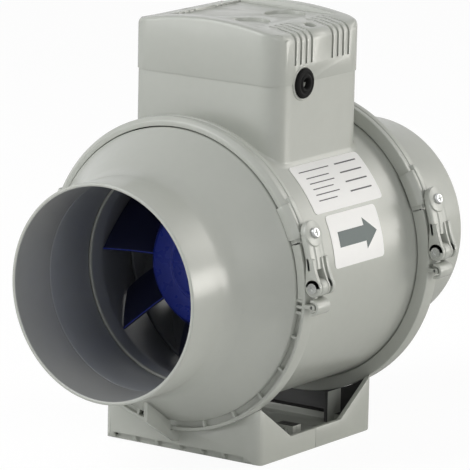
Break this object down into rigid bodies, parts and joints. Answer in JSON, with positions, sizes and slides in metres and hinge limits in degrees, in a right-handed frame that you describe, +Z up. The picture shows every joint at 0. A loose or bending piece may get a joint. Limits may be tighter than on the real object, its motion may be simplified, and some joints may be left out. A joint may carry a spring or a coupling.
{
  "type": "inline duct fan",
  "caption": "Inline mixed-flow duct fan with flared round spigots, toggle-latched clamp rings, a vented terminal box and a flat stand.",
  "frame": {"origin": "under the middle of the fan, on the surface that the stand rests on", "axes": "+Y along the airflow from inlet to outlet, +Z up, +X to the side with the labels and the cable entry"},
  "size_m": [0.1976, 0.268, 0.2447],
  "materials": {
    "grey_plastic": "satin moulded plastic, warm light grey",
    "dark_plastic": "satin moulded plastic, dark blue-grey",
    "blue_plastic": "semi-gloss moulded plastic, deep blue",
    "black_rubber": "matt moulded rubber",
    "zinc_steel": "bright zinc plating",
    "ground_steel": "ground steel",
    "dark_steel": "varnished steel laminations",
    "copper_wire": "enamelled copper wire",
    "cast_aluminium": "as-cast aluminium",
    "white_plastic": "moulded plastic, off-white",
    "label_film": "white polyester label",
    "arrow_ink": "printed grey-green ink"
  },
  "bodies": {
    "fan_body": {"inlet_spigot": "grey_plastic", "outlet_spigot": "grey_plastic", "inlet_liner": "dark_plastic", "inlet_stand_half": "grey_plastic", "outlet_stand_half": "grey_plastic", "stand_joint_screws": "zinc_steel", "fan_casing": "grey_plastic", "terminal_box": "grey_plastic", "inlet_gasket": "black_rubber", "outlet_gasket": "black_rubber", "inlet_clamp_band": "grey_plastic", "outlet_clamp_band": "grey_plastic", "latch_hinge_pins": "zinc_steel", "impeller_shroud": "dark_plastic", "motor_stator": "dark_steel", "motor_windings": "copper_wire", "motor_housing": "cast_aluminium", "motor_front_cover": "cast_aluminium", "front_bearing": "ground_steel", "rear_bearing": "ground_steel", "motor_screws": "zinc_steel", "guide_vane_hub": "dark_plastic", "guide_vanes": "dark_plastic", "guide_vane_ring": "dark_plastic", "terminal_box_lid": "grey_plastic", "lid_screws": "zinc_steel", "cable_grommet": "black_rubber", "terminal_block": "white_plastic", "terminal_screws": "zinc_steel", "capacitor": "white_plastic", "capacitor_clip": "white_plastic", "rating_label": "label_film", "flow_label": "label_film", "flow_arrow": "arrow_ink"},
    "impeller": {"impeller_hub": "blue_plastic", "impeller_blades": "blue_plastic", "impeller_retaining_ring": "zinc_steel", "motor_shaft": "ground_steel", "motor_rotor": "ground_steel"},
    "inlet_latch": {"inlet_lever": "grey_plastic", "inlet_lock_screw": "zinc_steel"},
    "inlet_catch": {"inlet_catch_link": "grey_plastic"},
    "outlet_latch": {"outlet_lever": "grey_plastic", "outlet_lock_screw": "zinc_steel"},
    "outlet_catch": {"outlet_catch_link": "grey_plastic"}
  },
  "joints": [
    {"name": "impeller_spin", "type": "hinge", "parent": "fan_body", "child": "impeller", "pos_m": [0, 0, 0.1035], "axis": [0, 1, 0], "continuous": true},
    {"name": "inlet_latch_open", "type": "hinge", "parent": "fan_body", "child": "inlet_latch", "pos_m": [0.0938, -0.0605, 0.1093], "axis": [0, 1, 0], "range_deg": [0, 105]},
    {"name": "inlet_catch_swing", "type": "hinge", "parent": "inlet_latch", "child": "inlet_catch", "pos_m": [0.0903, -0.0605, 0.1183], "axis": [0, 1, 0], "range_deg": [-112, 0]},
    {"name": "outlet_latch_open", "type": "hinge", "parent": "fan_body", "child": "outlet_latch", "pos_m": [0.0938, 0.0635, 0.1093], "axis": [0, 1, 0], "range_deg": [0, 105]},
    {"name": "outlet_catch_swing", "type": "hinge", "parent": "outlet_latch", "child": "outlet_catch", "pos_m": [0.0903, 0.0635, 0.1183], "axis": [0, 1, 0], "range_deg": [-112, 0]}
  ],
  "couplings": [
    {"joint": "inlet_catch_swing", "follows": "inlet_latch_open", "ratio": -1},
    {"joint": "outlet_catch_swing", "follows": "outlet_latch_open", "ratio": -1}
  ]
}
